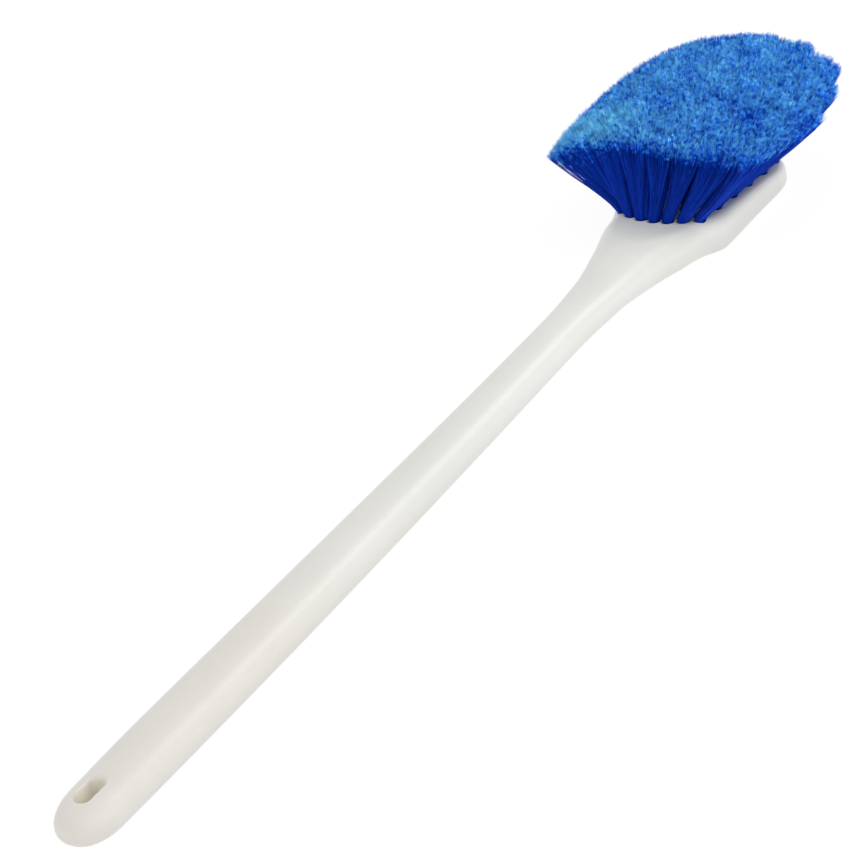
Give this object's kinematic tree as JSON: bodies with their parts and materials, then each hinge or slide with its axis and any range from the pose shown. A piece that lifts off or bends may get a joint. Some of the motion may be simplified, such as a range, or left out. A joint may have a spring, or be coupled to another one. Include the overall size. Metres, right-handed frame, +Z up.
{
  "type": "wheel brush",
  "caption": "Long-handled vehicle wash brush: a moulded straight handle with a hang slot and a drilled head block set with flared bristle tufts.",
  "frame": {"origin": "bottom centre of the whole brush's bounding box, on the plane that the back of the head and of the grip rest on", "axes": "+X along the handle from the grip end to the toe of the head, +Z up out of the bristles, +Y across the brush"},
  "size_m": [0.543, 0.11, 0.05],
  "materials": {
    "handle_plastic": "satin",
    "bristle_plastic": "satin",
    "anchor_steel": "satin"
  },
  "bodies": {
    "root": {"handle": "handle_plastic", "tuft_01": "bristle_plastic", "tuft_02": "bristle_plastic", "tuft_03": "bristle_plastic", "tuft_04": "bristle_plastic", "tuft_05": "bristle_plastic", "tuft_06": "bristle_plastic", "tuft_07": "bristle_plastic", "tuft_08": "bristle_plastic", "tuft_09": "bristle_plastic", "tuft_10": "bristle_plastic", "tuft_11": "bristle_plastic", "tuft_12": "bristle_plastic", "tuft_13": "bristle_plastic", "tuft_14": "bristle_plastic", "tuft_15": "bristle_plastic", "tuft_16": "bristle_plastic", "tuft_17": "bristle_plastic", "tuft_18": "bristle_plastic", "tuft_19": "bristle_plastic", "tuft_20": "bristle_plastic", "tuft_21": "bristle_plastic", "tuft_22": "bristle_plastic", "tuft_23": "bristle_plastic", "tuft_24": "bristle_plastic", "tuft_25": "bristle_plastic", "tuft_26": "bristle_plastic", "tuft_27": "bristle_plastic", "tuft_28": "bristle_plastic", "tuft_29": "bristle_plastic", "anchor_01": "anchor_steel", "anchor_02": "anchor_steel", "anchor_03": "anchor_steel", "anchor_04": "anchor_steel", "anchor_05": "anchor_steel", "anchor_06": "anchor_steel", "anchor_07": "anchor_steel", "anchor_08": "anchor_steel", "anchor_09": "anchor_steel", "anchor_10": "anchor_steel", "anchor_11": "anchor_steel", "anchor_12": "anchor_steel", "anchor_13": "anchor_steel", "anchor_14": "anchor_steel", "anchor_15": "anchor_steel", "anchor_16": "anchor_steel", "anchor_17": "anchor_steel", "anchor_18": "anchor_steel", "anchor_19": "anchor_steel", "anchor_20": "anchor_steel", "anchor_21": "anchor_steel", "anchor_22": "anchor_steel", "anchor_23": "anchor_steel", "anchor_24": "anchor_steel", "anchor_25": "anchor_steel", "anchor_26": "anchor_steel", "anchor_27": "anchor_steel", "anchor_28": "anchor_steel", "anchor_29": "anchor_steel"}
  },
  "joints": []
}
